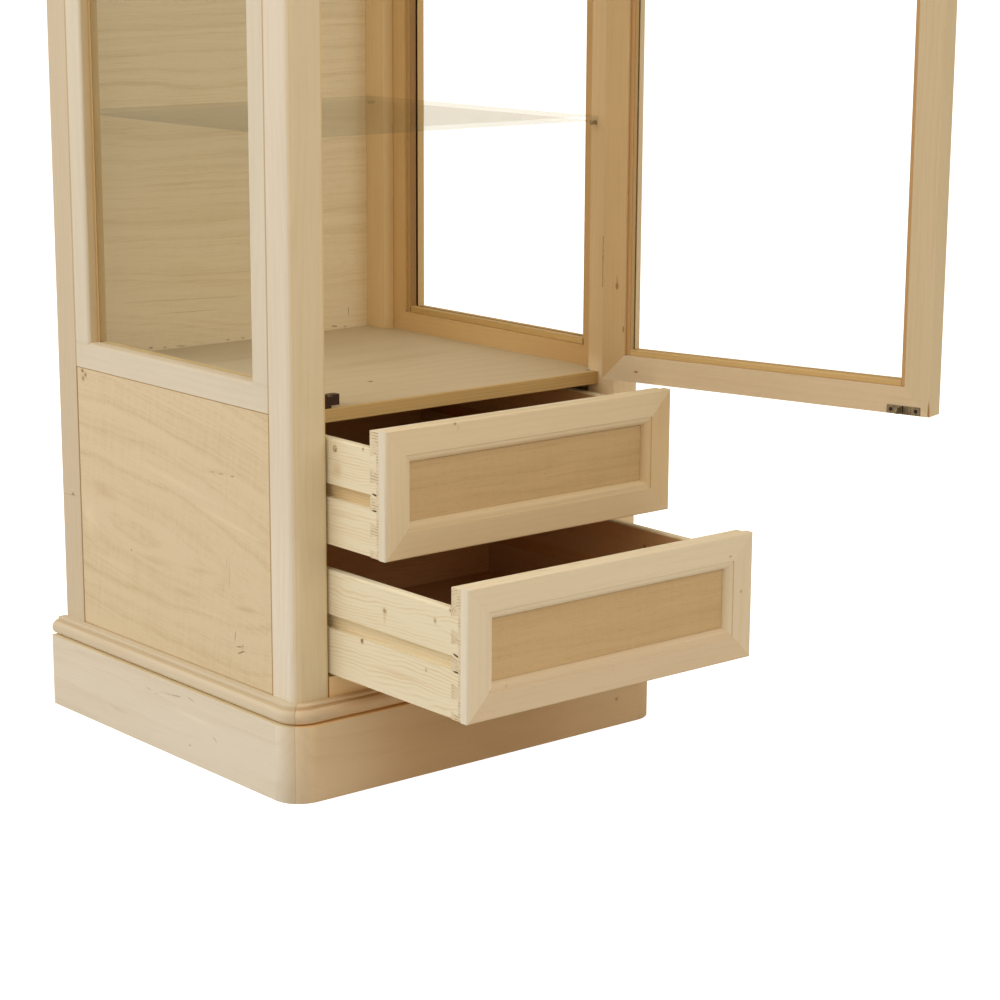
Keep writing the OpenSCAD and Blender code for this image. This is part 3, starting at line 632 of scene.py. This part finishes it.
class CABINET_OT_carcass(bpy.types.Operator):
    """Dress the posts, panels, rails and boards of the carcass"""

    bl_idname = "cabinet.carcass"
    bl_label = "Carcass"

    def execute(self, context):
        # Front left post: its paler, bluer tone is partly painted light on the side lit by the
        # key. Beyond the mitre the front is darker and warmer, partly a second board and partly
        # painted shade on the face turned from the key, and darker again at its right edge beside
        # the drawers as painted shade. The post is paler towards the bottom. The panel seam is a
        # dark line of painted shade in the gap; the mitre shows as a soft line.
        dress("front_left_post", lime(
            "front_left_lime", ALONG_Z, 0.2, (0.98, 1.10, 1.37), streaks=0.8,
            planes=((MITRED, 0.2405, 0.003, (1.0, 0.925, 0.76)),
                    (DOWN, -0.42, 0.20, (1.07, 1.09, 1.12)),
                    (RIGHT, -0.2284, 0.001, (0.95, 0.85, 0.66))),
            lines=((REARWARD, -0.4662, 0.0011, SEAM_SHADE),
                   (MITRED, 0.2405, 0.005, (0.97, 0.92, 0.82)))))
        # Front right post: darker and warmer above the display floor, painted shadow of the open
        # door; its outer right face paler and bluer.
        dress("front_right_post", lime(
            "front_right_lime", ALONG_Z, 0.9, (1.10, 1.07, 1.04), streaks=0.8,
            planes=((UP, 0.458, 0.03, (0.87, 0.80, 0.67)),
                    (RIGHT, 0.2705, 0.0006, (0.95, 1.02, 1.15)))))
        dress("rear_left_post", lime(
            "rear_left_lime", ALONG_Z, 1.5, (0.84, 0.89, 0.99), marks=REAR_POST_MARKS,
            lines=((REARWARD, -0.0376, 0.0014, SOFT_SEAM_SHADE),)))
        dress("rear_right_post", lime(
            "rear_right_lime", ALONG_Z, 2.2, (1.10, 1.01, 0.84),
            planes=((RIGHT, 0.2705, 0.0006, (0.92, 1.05, 1.28)),)))
        # Left panel: its paler, bluer tone is partly painted light on the side lit by the key; the
        # dark lines at the posts, along the frame above and along the moulding below are painted
        # shade in those joints.
        dress("left_lower_panel", veneer(
            "left_panel_veneer", (math.radians(-9.0), 0.0, -math.pi / 2), 0.0,
            (0.98, 1.07, 1.20), marks=SIDE_PANEL_MARKS,
            heart=((-0.2716, -0.16, 0.262), (math.radians(7.0), 0.0, 0.0), (9.0, 4.4, 1.0)),
            lines=((REARWARD, -0.4654, 0.0016, SEAM_SHADE), (REARWARD, -0.0386, 0.0012, SEAM_SHADE),
                   (UP, 0.4580, 0.0011, SEAM_SHADE), (UP, 0.1186, 0.0011, SOFT_SEAM_SHADE))))
        dress("right_lower_panel", veneer("right_panel_veneer", ALONG_Y, 1.7, (1.06, 1.10, 1.16)))
        dress("bottom_board", spruce("bottom_board_spruce", ALONG_X, 0.8))
        # Bottom rail: the dark line at its left end is painted shadow in the gap beside the post.
        dress("bottom_front_rail", lime(
            "bottom_rail_lime", ALONG_X, 1.3, (1.22, 1.14, 0.96),
            lines=((RIGHT, -0.2254, 0.0018, (0.35, 0.22, 0.12)),)))
        # Back panel: its paler, bluer tone is partly painted light on the back seen through the
        # glass.
        dress("back_panel", veneer(
            "back_panel_veneer", ALONG_X, 2.4, (1.27, 1.40, 1.58), rings=0.18, patch=0.30,
            ripple=0.12, swirl=0.004, wander=0.05, marks=BACK_MARKS))
        dress("display_floor", lime(
            "display_floor_lime", ALONG_X, 2.1, (0.84, 0.85, 0.85), patch=0.42, rings=0.26,
            marks=FLOOR_MARKS))
        dress("floor_lipping", strip("lipping_strip", ALONG_X, 0.4, (1.0, 1.02, 1.08)))
        dress("drawer_runners", strip("runner_strip", ALONG_Y, 1.4, (0.8, 0.72, 0.6)))
        return {"FINISHED"}


class CABINET_OT_plinth(bpy.types.Operator):
    """Dress the plinth boards and the moulding on them"""

    bl_idname = "cabinet.plinth"
    bl_label = "Plinth and moulding"

    def execute(self, context):
        # Plinth front: the darker, warmer tone is painted shade on the front, away from the key.
        # It is paler to the left as painted light, a little darker near the corner and darker to
        # the right as painted shade. The warm band along its top is painted light bounced into the
        # groove under the bead. The soft line at the mitre is painted shade in the joint.
        dress("plinth_front", lime(
            "plinth_front_lime", ALONG_X, 0.15, (0.98, 0.88, 0.77), patch=0.42,
            marks=PLINTH_FRONT_MARKS, planes=(
                (LEFT, 0.10, 0.12, (1.08, 1.19, 1.34)),
                (LEFT, 0.264, 0.010, (0.92, 0.94, 1.0)),
                (RIGHT, 0.12, 0.12, (0.86, 0.86, 0.84)),
                (UP, 0.0938, 0.0008, (1.08, 0.93, 0.72))),
            lines=((MITRED, 0.242, 0.0010, SOFT_SEAM_SHADE),)))
        # Plinth left: its paler, bluer tone is partly painted light on the side lit by the key; it
        # darkens towards the front corner as painted shade where the face turns away, and the warm
        # band along its top is painted warm light bounced into the groove under the bead.
        dress("plinth_left", lime(
            "plinth_left_lime", ALONG_Y, 0.55, (1.0, 1.14, 1.44), patch=0.40,
            marks=PLINTH_LEFT_MARKS,
            planes=((FORWARD, 0.502, 0.03, (0.85, 0.78, 0.67)),
                    (UP, 0.0938, 0.0008, (0.95, 0.91, 0.75)))))
        dress("plinth_right", lime("plinth_right_lime", ALONG_Y, 1.9, FRONT))
        dress("plinth_rear_rail", spruce("rear_rail_spruce", ALONG_X, 1.1))
        # Moulding front: the darker, warmer tone is painted shade on the front, paler and bluer to
        # the left as painted light. Its lower edge is lightened, painted light bounced up into the
        # groove above the plinth. Dark lines mark the mitre and the cove under the ledge, painted
        # shade in the joint and in the cove.
        dress("base_moulding_front", lime(
            "moulding_front_lime", ALONG_X, 0.9, (0.97, 0.88, 0.77),
            planes=((LEFT, 0.19, 0.07, (0.92, 1.0, 1.16)),
                    (DOWN, -0.1005, 0.0035, (1.35, 1.30, 1.20))),
            lines=((MITRED, 0.242, 0.0011, SEAM_SHADE),
                   (UP, 0.1140, 0.0012, (0.80, 0.68, 0.55)))))
        # Moulding left: its lower part and bottom edge are lightened, painted light bounced up
        # into the groove above the plinth; it darkens towards the front corner as painted shade,
        # with a dark line of painted shade in the cove under the ledge.
        dress("base_moulding_left", lime(
            "moulding_left_lime", ALONG_Y, 1.6, (0.86, 0.93, 1.05),
            planes=((DOWN, -0.1070, 0.0060, (1.16, 1.17, 1.20)),
                    (DOWN, -0.0990, 0.0030, (1.50, 1.27, 1.05)),
                    (FORWARD, 0.500, 0.03, (0.90, 0.86, 0.80))),
            lines=((UP, 0.1136, 0.0012, (0.88, 0.82, 0.72)),)))
        dress("base_moulding_right", lime("moulding_right_lime", ALONG_Y, 2.6, FRONT))
        return {"FINISHED"}


class CABINET_OT_glazed_sides(bpy.types.Operator):
    """Dress the side frames and their glazing beads"""

    bl_idname = "cabinet.glazed_sides"
    bl_label = "Glazed sides"

    def execute(self, context):
        ring = (REARWARD, UP, (-0.252, 1.09025), (0.188, 0.60575))
        # The left frames' paler, bluer tint is partly painted light from the key; the right
        # frames' darker, warmer tint is painted shade on their inward faces.
        tones = {"left": (0.93, 1.06, 1.30), "right": INNER_SHADE}
        # Reveals darker and warmer: painted shade on the frames' inner faces.
        reveal_shade = {"stiles": (0.92, 0.79, 0.59), "rails": (0.94, 0.88, 0.80)}
        # Dark seam lines where the frames meet the posts: painted shade in those joints.
        seam_shades = ((REARWARD, -0.4652, 0.0012, SOFT_SEAM_SHADE),
                 (REARWARD, -0.0388, 0.0014, SOFT_SEAM_SHADE))
        notches = (("slit", (246.0, -433.0, 488.0), (8.0, 1.4, 5.0), (0, 0, 0), 0.8),
                   ("slit", (246.0, -71.0, 488.0), (8.0, 1.4, 5.0), (0, 0, 0), 0.6))
        for i, side in enumerate(("left", "right")):
            for j, member in enumerate(("stiles", "rails")):
                planes = ((RIGHT, -0.2715, 0.003, reveal_shade[member]),)
                # A darker band along the rounded upper edge of the left bottom rail: painted shade
                # in place of its highlight.
                zones = (((-270.0, -252.0, 490.6), (2.6, ANY, 2.6), 0.6, (0.88, 0.84, 0.79), 1.0),)
                if side == "right":
                    # The right frames darken towards the front, and their outer right faces are
                    # made paler and bluer again.
                    planes = ((FORWARD, 0.24, 0.2, (0.85, 0.79, 0.74)),
                              (RIGHT, 0.2705, 0.0006, (0.95, 1.15, 1.55)))
                    zones = ()
                dress(side + "_frame_" + member, lime(
                    side + "_" + member + "_lime", (ALONG_Z, ALONG_Y)[j], 0.6 + i + 0.6 * j,
                    tones[side], planes=planes, zones=zones, lines=seam_shades))
            dress(side + "_glass_beads", strip(
                side + "_bead_strip", ALONG_Y, 0.3 + i,
                (1.62, 1.82, 2.5) if side == "left" else (0.93, 0.84, 0.86), ring=ring,
                butt=0.008, level_tone=(0.78, 0.75, 0.72) if side == "left" else (1.06, 1.14, 1.1),
                seam=0.6, marks=notches if side == "right" else ()))
        return {"FINISHED"}


class CABINET_OT_top(bpy.types.Operator):
    """Dress the upper rails, the cornice and the top board"""

    bl_idname = "cabinet.top"
    bl_label = "Top"

    def execute(self, context):
        dress("top_front_rail", lime("top_rail_lime", ALONG_X, 0.45, FRONT))
        dress("top_side_rails", lime("top_side_lime", ALONG_Y, 0.95, KEY_LIT_TINT))
        dress("cornice_front", lime("cornice_front_lime", ALONG_X, 1.35, FRONT))
        dress("cornice_left", lime("cornice_left_lime", ALONG_Y, 1.85, KEY_LIT_TINT))
        dress("cornice_right", lime("cornice_right_lime", ALONG_Y, 2.35, FRONT))
        dress("top_board", lime("top_board_lime", ALONG_X, 2.9, KEY_LIT_TINT, patch=0.3))
        return {"FINISHED"}


class CABINET_OT_door(bpy.types.Operator):
    """Dress the members of the door and its glazing beads"""

    bl_idname = "cabinet.door"
    bl_label = "Door"

    def execute(self, context):
        ring = (tuple(DOOR_OUT), UP, (DOOR_FOOT + 0.22525, 1.0895), (0.19275, 0.599))
        lip = (tuple(DOOR_OUT), DOOR_FOOT + 0.0381, 0.0006, (1.22, 1.38, 1.80))
        # The hinge stile's darker, warmer tone is partly painted shade, as the cabinet shades the
        # door's hinge side.
        dress("door_hinge_stile", lime(
            "hinge_stile_lime", ALONG_Z, 3.1, (0.81, 0.69, 0.51), streaks=1.0, patch=0.4,
            marks=HINGE_STILE_MARKS, planes=(lip,)))
        dress("door_free_stile", lime(
            "free_stile_lime", ALONG_Z, 3.5, (0.86, 0.87, 0.84), streaks=1.2, patch=0.4,
            marks=FREE_STILE_MARKS))
        dress("door_bottom_rail", lime(
            "door_bottom_lime", ALONG_DOOR, 3.9, (0.93, 0.92, 0.93), streaks=0.9, patch=0.4,
            marks=DOOR_RAIL_MARKS))
        dress("door_top_rail", lime("door_top_lime", ALONG_DOOR, 4.3, (0.93, 0.91, 0.92)))
        dress("door_glass_beads", strip(
            "door_bead_strip", ALONG_DOOR, 0.7, (0.93, 0.84, 0.92), ring=ring, butt=0.0065,
            level_tone=(1.08, 1.22, 1.22), seam=0.6))
        return {"FINISHED"}


class CABINET_OT_drawers(bpy.types.Operator):
    """Dress both drawers: moulded fronts, panels and boxes"""

    bl_idname = "cabinet.drawers"
    bl_label = "Drawers"

    def execute(self, context):
        tones = {"upper": (1.04, 1.08, 1.11), "lower": (1.06, 1.14, 1.27)}
        # Left ends paler and bluer: painted light from the key on the left.
        lit_ends = {"upper": (0.97, 1.08, 1.30), "lower": (0.99, 1.06, 1.18)}
        hearts = {"upper": (0.0, 0.60, -0.12), "lower": (0.0, 0.758, -0.265)}
        # Right uprights darker and warmer: painted shade, strongest on the upper drawer.
        right_shade = {"upper": (0.93, 0.85, 0.73), "lower": (0.97, 0.95, 0.93)}
        bottoms = {"upper": (0.92, 0.87, 0.80), "lower": (0.91, 0.85, 0.79)}
        # Painted shade inside the drawers: inner faces, backs and bottoms darker and warmer.
        drawer_inner_shade = (0.80, 0.56, 0.40)
        for i, level in enumerate(("upper", "lower")):
            z, h, pull = DRAWER_Z[level], DRAWER_H[level], DRAWER_PULL[level]
            ring = (RIGHT, UP, (0.0, MM * (z + h / 2)),
                    (0.2225, MM * h / 2))
            # Painted shade on the inner faces of the sides.
            inside = ((0.0, 0.0, 300.0), (210.8, ANY, ANY), 0.001, drawer_inner_shade, 1.0)
            # Painted shade in the grooves of the sides, deepest on the upper drawer.
            groove_shade = ((0.0, 0.0, z + 66.5), (218.5, ANY, 8.4), 0.02,
                      (0.84, 0.66, 0.43) if level == "upper" else (0.97, 0.88, 0.74), 1.0)
            shadow = ((0.0, -514.0, z + 66.5), (218.5, 26.0 if level == "upper" else 36.0, 8.4),
                      0.75, (0.50, 0.26, 0.12), 1.0)
            # Painted shade on the back of the box front.
            behind_front_shade = ((0.0, -480.0 - pull, 300.0), (ANY, 5.0, ANY), 0.3, drawer_inner_shade, 1.0)
            # The front frame's ends: the left end painted light from the key, a dark line along
            # the right edge painted shade.
            edges = (((-222.6, 0.0, 0.0), (3.0, ANY, ANY), 0.4, lit_ends[level], 1.0),
                     ((222.6, 0.0, 0.0), (1.4, ANY, ANY), 0.4, (0.66, 0.48, 0.36), 1.0))
            name = level + "_drawer_"
            dress(name + "frame", lime(
                name + "frame_lime", ALONG_X, 4.7 + i, tones[level], ring=ring,
                bottom_tone=bottoms[level], right_tone=right_shade[level], zones=edges,
                seam=0.06, marks=FRONT_MARKS[level]))
            dress(name + "panel", fielded(name + "panel_brown", ALONG_X, 0.5 + i))
            dress(name + "box_front", spruce(
                name + "front_spruce", ALONG_X, 2.2 + i, (1.0, 1.08, 1.22), zones=(behind_front_shade,),
                pith=hearts[level], end=0.9, hatch=0.8))
            dress(name + "sides", spruce(
                name + "side_spruce", ALONG_Y, 0.4 + i, (1.0, 1.09, 1.24),
                zones=(groove_shade, shadow, inside), marks=SIDE_MARKS[level],
                lines=((UP, MM * (z + h) - 0.0165, 0.0012, (0.78, 0.64, 0.48)),)))
            dress(name + "back", spruce(name + "back_spruce", ALONG_X, 3.4 + i, drawer_inner_shade))
            dress(name + "bottom", spruce(name + "bottom_spruce", ALONG_X, 4.2 + i, drawer_inner_shade))
        return {"FINISHED"}


class CABINET_OT_glass(bpy.types.Operator):
    """Give the panes and shelves clear glass"""

    bl_idname = "cabinet.glass"
    bl_label = "Glass"

    def execute(self, context):
        # Width direction, middle and height of the opening, half width, half height, and the x
        # below which the band of painted rebate shade is drawn.
        left = (REARWARD, -0.252, 1.09025, 0.1755, 0.5976, -0.2575)
        right = (REARWARD, -0.252, 1.09025, 0.1799, 0.5976, ANY)
        door = (tuple(DOOR_OUT), DOOR_FOOT + 0.22525, 1.0895, 0.1862, 0.5924, ANY)
        dress("left_glass", clear_glass("left_pane", left, (0.66, 0.47, 0.23)), edge=False)
        dress("right_glass", clear_glass("right_pane", right, (0.60, 0.44, 0.22)), edge=False)
        dress("door_glass", clear_glass("door_pane", door, (0.66, 0.50, 0.28)), edge=False)
        dress("glass_shelves", clear_glass("shelf_glass"), edge=False)
        return {"FINISHED"}


GLASS_TINT = (0.975, 0.985, 0.98, 1.0)


def clear_glass(name, opening=None, painted_rebate_shade=None):
    """Clear glass, and outside the opening an opaque golden-brown band, painted shade of the
    rebate's wood in place of the dark line the glass shows there.
    """
    t = Tree(name)
    clear = t.nodes.new("ShaderNodeBsdfTransparent")
    clear.inputs[0].default_value = GLASS_TINT
    gloss = t.nodes.new("ShaderNodeBsdfGlossy")
    haze = t.noise(t.coords.outputs["Object"], 6.0, 3.0, 0.6)
    t.put(gloss.inputs["Roughness"], t.between(haze, 0.3, 0.8, 0.01, 0.05))
    slant = t.nodes.new("ShaderNodeLayerWeight").outputs["Facing"]
    blend = t.nodes.new("ShaderNodeMixShader")
    t.put(blend.inputs[0], t.math("ADD", t.math("MULTIPLY", t.math("POWER", slant, 4.0), 0.5),
                                  0.02))
    t.links.new(clear.outputs[0], blend.inputs[1])
    t.links.new(gloss.outputs[0], blend.inputs[2])
    t.links.new(blend.outputs[0], t.output.inputs[0])
    if opening:
        u, middle, height, half_width, half_height, inner = opening
        place = t.coords.outputs["Object"]
        du = t.math("SUBTRACT", t.vector("DOT_PRODUCT", place, u, out=1), middle)
        dv = t.math("SUBTRACT", t.vector("DOT_PRODUCT", place, UP, out=1), height)
        outside = t.math("MAXIMUM", t.math("SUBTRACT", t.math("ABSOLUTE", du), half_width),
                         t.math("SUBTRACT", t.math("ABSOLUTE", dv), half_height))
        grit = t.noise(place, 900.0, 2.0, 0.6)
        # The opaque band: painted shade of the rebate's wood, with a little grit.
        rebate_shade_band = t.nodes.new("ShaderNodeBsdfDiffuse")
        t.put(rebate_shade_band.inputs["Color"], t.mix(grit, painted_rebate_shade, shaded(painted_rebate_shade, (0.85, 0.82, 0.78))))
        near = t.math("LESS_THAN", t.vector("DOT_PRODUCT", place, RIGHT, out=1), inner)
        whole = t.nodes.new("ShaderNodeMixShader")
        t.put(whole.inputs[0], t.math("MULTIPLY", t.math("GREATER_THAN", outside, 0.0), near))
        t.links.new(blend.outputs[0], whole.inputs[1])
        t.links.new(rebate_shade_band.outputs[0], whole.inputs[2])
        t.links.new(whole.outputs[0], t.output.inputs[0])
    return t.material


# Dark folds of the strike plate, painted shade in its creases: distance from the hinge, half width
# and factors.
STRIKE_RIB_SHADES = (
    (0.4169, 0.0011, (0.12, 0.10, 0.10)),
    (0.4197, 0.0005, (0.55, 0.50, 0.48)),
    (0.4217, 0.0005, (0.55, 0.50, 0.48)),
    (0.4237, 0.0005, (0.55, 0.50, 0.48)),
)


class CABINET_OT_metalwork(bpy.types.Operator):
    """Dress the catch, the strike, the hinges and the shelf pins"""

    bl_idname = "cabinet.metalwork"
    bl_label = "Metalwork"

    def execute(self, context):
        s = context.scene.cabinet_metal
        for node, name, colour, roughness, metallic, rib_shades in (
                ("catch_body", "catch_brown", s.housing, 0.42, 0.3, ()),
                ("catch_roller", "roller_steel", s.steel, 0.3, 1.0, ()),
                ("strike_plate", "strike_bronze", s.strike, 0.42, 0.7, STRIKE_RIB_SHADES),
                ("strike_screws", "screw_bronze", s.screw, 0.35, 0.6, ()),
                ("hinge_post_halves", "post_hinge_brass", s.brass, 0.5, 0.7, ()),
                ("hinge_door_halves", "door_hinge_brass", s.brass, 0.5, 0.7, ()),
                ("shelf_pins", "pin_steel", s.steel, 0.28, 1.0, ())):
            dress(node, metal(name, colour, roughness, metallic, rib_shades), node != "shelf_pins")
        return {"FINISHED"}


def metal(name, colour, roughness, metallic, rib_shades=()):
    """Brushed and slightly stained metal, with painted shade along ribs square to the door."""
    t = Tree(name)
    place = t.coords.outputs["Object"]
    brush = t.noise(t.mapping(place, scale=(90.0, 90.0, 2600.0)), 1.0, 3.0, 0.6)
    stain = t.noise(place, 240.0, 4.0, 0.6)
    dark = tuple(0.55 * c for c in colour)
    hue = t.mix(t.between(stain, 0.35, 0.75), tuple(colour), dark)
    if rib_shades:
        along = t.vector("DOT_PRODUCT", place, tuple(DOOR_OUT), out=1)
        for reach, half, factors in rib_shades:
            off = t.math("ABSOLUTE", t.math("SUBTRACT", along, DOOR_FOOT + reach))
            hue = t.mix(t.between(off, half, 0.6 * half), hue, factors, "MULTIPLY")
    rough = t.math("ADD", roughness, t.math("MULTIPLY", t.math("SUBTRACT", brush, 0.5), 0.3))
    return t.shader(hue, rough, brush, 0.00005, Metallic=metallic)


# The camera, and the lamps: name, place, aim, size, share of the light's power, colour.
CAMERA_PLACE = (-1.9769, -2.9149, 1.0191)
CAMERA_YAW = math.radians(39.93)
CAMERA_DIP = math.radians(13.30)
CAMERA_ROLL = math.radians(0.263)
CAMERA_SHIFT = (0.0042, 0.0342)
AIM = (0.0, -0.3, 0.4)
COOL = (0.9, 1.0, 1.05)
KEY_LAMPS = (
    ("key", (-2.4, 0.3, 3.6), AIM, 2.2, 1.0, (1.0, 0.97, 0.95)),
    ("side", (-3.6, 0.5, 1.4), AIM, 2.2, 0.29, COOL),
    ("rear", (-3.3, 1.7, 2.0), AIM, 2.2, 0.18, COOL),
)
FILL_LAMPS = (
    ("fill", (1.6, -3.6, 2.4), AIM, 2.2, 1.0, (0.85, 0.95, 1.0)),
    ("front", (-0.4, -3.0, 3.4), (0.0, -0.4, 0.5), 2.0, 0.27, (0.9, 1.0, 1.0)),
)
WARM_AIR = (1.0, 0.80, 0.58, 1.0)
WHITE_BACKDROP = (1.3, 1.3, 1.3, 1.0)


class CABINET_OT_stage(bpy.types.Operator):
    """Add the floor, the lights and the camera"""

    bl_idname = "cabinet.stage"
    bl_label = "Stage"

    def execute(self, context):
        s = context.scene.cabinet_stage
        bpy.ops.object.select_all(action="DESELECT")
        bpy.ops.mesh.primitive_plane_add(size=60.0, location=(0.0, 0.0, 0.0))
        ground = context.object
        ground.name = "ground"
        t = Tree("pale_ground")
        cloud = t.noise(t.coords.outputs["Object"], 0.8, 2.0, 0.5)
        shade = t.mix(cloud, tuple(s.ground), tuple(0.985 * c for c in s.ground))
        seen = t.nodes.new("ShaderNodeLightPath").outputs["Is Camera Ray"]
        t.shader(shade, 0.9, Specular_IOR_Level=0.1, Emission_Color=(1.0, 1.0, 1.0),
                 Emission_Strength=t.math("MULTIPLY", seen, s.glow))
        ground.data.materials.append(t.material)

        world = bpy.data.worlds.new("studio")
        world.use_nodes = True
        tree = world.node_tree
        sky = tree.nodes["Background"]
        hue = tree.nodes.new("ShaderNodeMix")
        hue.data_type = "RGBA"
        hue.inputs[6].default_value = WARM_AIR
        hue.inputs[7].default_value = WHITE_BACKDROP
        straight = tree.nodes.new("ShaderNodeLightPath").outputs["Is Camera Ray"]
        tree.links.new(straight, hue.inputs[0])
        tree.links.new(hue.outputs[2], sky.inputs[0])
        sky.inputs[1].default_value = s.ambient
        context.scene.world = world

        for power, lamps in ((s.key, KEY_LAMPS), (s.fill, FILL_LAMPS)):
            for name, place, aim, size, share, colour in lamps:
                self.lamp(name, place, aim, size, share * power, colour)

        bpy.ops.object.camera_add(location=CAMERA_PLACE,
                                  rotation=(math.pi / 2 - CAMERA_DIP, 0.0, -CAMERA_YAW))
        camera = context.object
        camera.rotation_mode = "XYZ"
        camera.matrix_basis = camera.matrix_basis @ Matrix.Rotation(CAMERA_ROLL, 4, "Z")
        camera.data.sensor_width = 36.0
        camera.data.lens = s.lens
        camera.data.shift_x, camera.data.shift_y = CAMERA_SHIFT
        camera.data.clip_end = 200.0
        context.scene.camera = camera
        context.scene.view_settings.view_transform = "Standard"
        return {"FINISHED"}

    def lamp(self, name, place, aim, size, power, colour):
        bpy.ops.object.light_add(type="AREA", location=place)
        lamp = bpy.context.object
        lamp.name = name + "_light"
        lamp.data.size = size
        lamp.data.energy = power
        lamp.data.color = colour
        lamp.rotation_euler = (Vector(aim) - Vector(place)).to_track_quat("-Z", "Y").to_euler()


class CABINET_PT_panel(bpy.types.Panel):
    """Lists the cabinet's settings and its steps"""

    bl_label = "Display Cabinet"
    bl_space_type = "VIEW_3D"
    bl_region_type = "UI"
    bl_category = "Cabinet"

    def draw(self, context):
        for group in (context.scene.cabinet_wood, context.scene.cabinet_metal,
                      context.scene.cabinet_stage):
            box = self.layout.box()
            for name in group.bl_rna.properties.keys():
                if name not in ("rna_type", "name"):
                    box.prop(group, name)
        for step in STEPS:
            self.layout.operator(step.bl_idname)


STEPS = (
    CABINET_OT_carcass, CABINET_OT_plinth, CABINET_OT_glazed_sides, CABINET_OT_top,
    CABINET_OT_door, CABINET_OT_drawers, CABINET_OT_glass, CABINET_OT_metalwork,
    CABINET_OT_stage,
)
GROUPS = (CabinetWood, CabinetMetal, CabinetStage)


def register():
    for item in GROUPS + STEPS + (CABINET_PT_panel,):
        bpy.utils.register_class(item)
    bpy.types.Scene.cabinet_wood = PointerProperty(type=CabinetWood)
    bpy.types.Scene.cabinet_metal = PointerProperty(type=CabinetMetal)
    bpy.types.Scene.cabinet_stage = PointerProperty(type=CabinetStage)


def unregister():
    del bpy.types.Scene.cabinet_stage
    del bpy.types.Scene.cabinet_metal
    del bpy.types.Scene.cabinet_wood
    for item in reversed(GROUPS + STEPS + (CABINET_PT_panel,)):
        bpy.utils.unregister_class(item)


def main():
    register()
    bpy.ops.cabinet.carcass()
    bpy.ops.cabinet.plinth()
    bpy.ops.cabinet.glazed_sides()
    bpy.ops.cabinet.top()
    bpy.ops.cabinet.door()
    bpy.ops.cabinet.drawers()
    bpy.ops.cabinet.glass()
    bpy.ops.cabinet.metalwork()
    bpy.ops.cabinet.stage()


if __name__ == "__main__":
    main()
